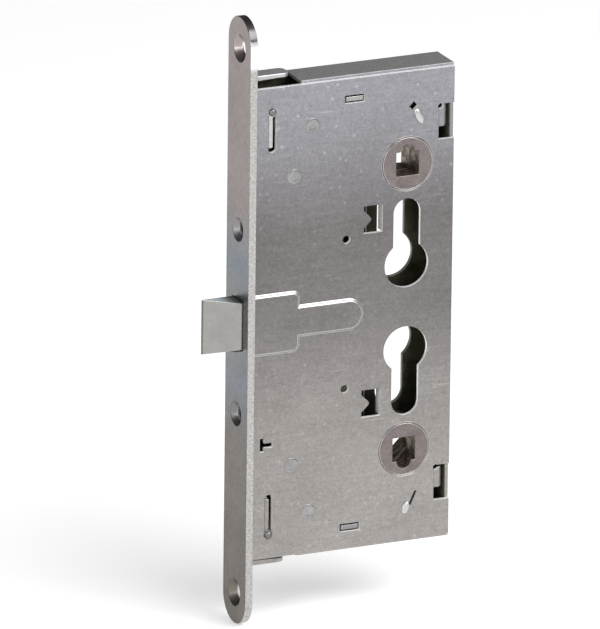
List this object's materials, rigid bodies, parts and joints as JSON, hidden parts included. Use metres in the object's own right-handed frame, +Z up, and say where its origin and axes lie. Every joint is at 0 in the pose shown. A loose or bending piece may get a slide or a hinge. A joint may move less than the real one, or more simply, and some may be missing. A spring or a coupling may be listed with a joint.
{
  "type": "mortise lock",
  "caption": "Slim reversible mortise lock case with a round-ended forend, a bevelled spring latch, split followers and two profile cylinder cut-outs.",
  "frame": {"origin": "centre of the forend's back face, halfway between the two end fixing screws", "axes": "+X into the door, square to the forend; +Y through the case from the cover to the back plate; +Z up along the forend"},
  "size_m": [0.0964, 0.02, 0.235],
  "materials": {
    "forend_steel": "satin, lightly streaked",
    "zinc_steel": "galvanised sheet, mottled satin",
    "latch_steel": "satin nickel-plated steel",
    "pin_steel": "turned, satin",
    "spring_steel": "drawn wire, bright",
    "sintered_steel": "sintered, matt purple-grey"
  },
  "bodies": {
    "case": {"forend": "forend_steel", "upper_forend_bracket": "zinc_steel", "lower_forend_bracket": "zinc_steel", "case_shell": "zinc_steel", "case_cover": "zinc_steel", "case_pillars": "zinc_steel", "upper_spacer": "zinc_steel", "lower_spacer": "zinc_steel", "follower_stop_pins": "pin_steel", "return_spring_posts": "pin_steel", "key_lever_pins": "pin_steel", "latch_guide": "zinc_steel", "latch_spring": "spring_steel", "upper_return_spring": "spring_steel", "lower_return_spring": "spring_steel", "upper_key_lever_spring": "spring_steel", "lower_key_lever_spring": "spring_steel"},
    "latch": {"latch_head": "latch_steel", "latch_stem": "zinc_steel", "latch_rivets": "pin_steel", "draw_plate": "zinc_steel", "draw_plate_pins": "pin_steel"},
    "upper_follower": {"upper_follower_near": "sintered_steel"},
    "upper_idle_follower": {"upper_follower_far": "sintered_steel"},
    "lower_follower": {"lower_follower_near": "sintered_steel"},
    "lower_idle_follower": {"lower_follower_far": "sintered_steel"},
    "upper_lever": {"upper_key_lever": "zinc_steel"},
    "lower_lever": {"lower_key_lever": "zinc_steel"}
  },
  "joints": [
    {"name": "latch_slide", "type": "slide", "parent": "case", "child": "latch", "axis": [1, 0, 0], "range_m": [0, 0.012], "stiffness_N_per_m": 600, "springref_m": -0.012, "deforming": ["latch_spring"]},
    {"name": "upper_follower_turn", "type": "hinge", "parent": "case", "child": "upper_follower", "pos_m": [0.062, 0, 0.0555], "axis": [0, 1, 0], "range_deg": [0, 45], "stiffness_Nm_per_rad": 0.3, "springref_deg": -17.19, "deforming": ["upper_return_spring"]},
    {"name": "lower_follower_turn", "type": "hinge", "parent": "case", "child": "lower_follower", "pos_m": [0.062, 0, -0.0555], "axis": [0, -1, 0], "range_deg": [0, 45], "stiffness_Nm_per_rad": 0.3, "springref_deg": -17.19, "deforming": ["lower_return_spring"]},
    {"name": "upper_key_lever_swing", "type": "hinge", "parent": "case", "child": "upper_lever", "pos_m": [0.033, 0, 0.042], "axis": [0, -1, 0], "range_deg": [0, 21], "stiffness_Nm_per_rad": 0.01, "springref_deg": -28.65, "deforming": ["upper_key_lever_spring"]},
    {"name": "lower_key_lever_swing", "type": "hinge", "parent": "case", "child": "lower_lever", "pos_m": [0.033, 0, -0.042], "axis": [0, 1, 0], "range_deg": [0, 21], "stiffness_Nm_per_rad": 0.01, "springref_deg": -28.65, "deforming": ["lower_key_lever_spring"]},
    {"name": "upper_idle_follower_turn", "type": "hinge", "parent": "case", "child": "upper_idle_follower", "pos_m": [0.062, 0, 0.0555], "axis": [0, 1, 0], "range_deg": [0, 45]},
    {"name": "lower_idle_follower_turn", "type": "hinge", "parent": "case", "child": "lower_idle_follower", "pos_m": [0.062, 0, -0.0555], "axis": [0, -1, 0], "range_deg": [-45, 0]}
  ],
  "couplings": [
    {"joint": "upper_follower_turn", "follows": "latch_slide", "rad_per_m": 65.45},
    {"joint": "lower_follower_turn", "follows": "latch_slide", "rad_per_m": 65.45},
    {"joint": "upper_key_lever_swing", "follows": "latch_slide", "rad_per_m": 30.543},
    {"joint": "lower_key_lever_swing", "follows": "latch_slide", "rad_per_m": 30.543}
  ]
}
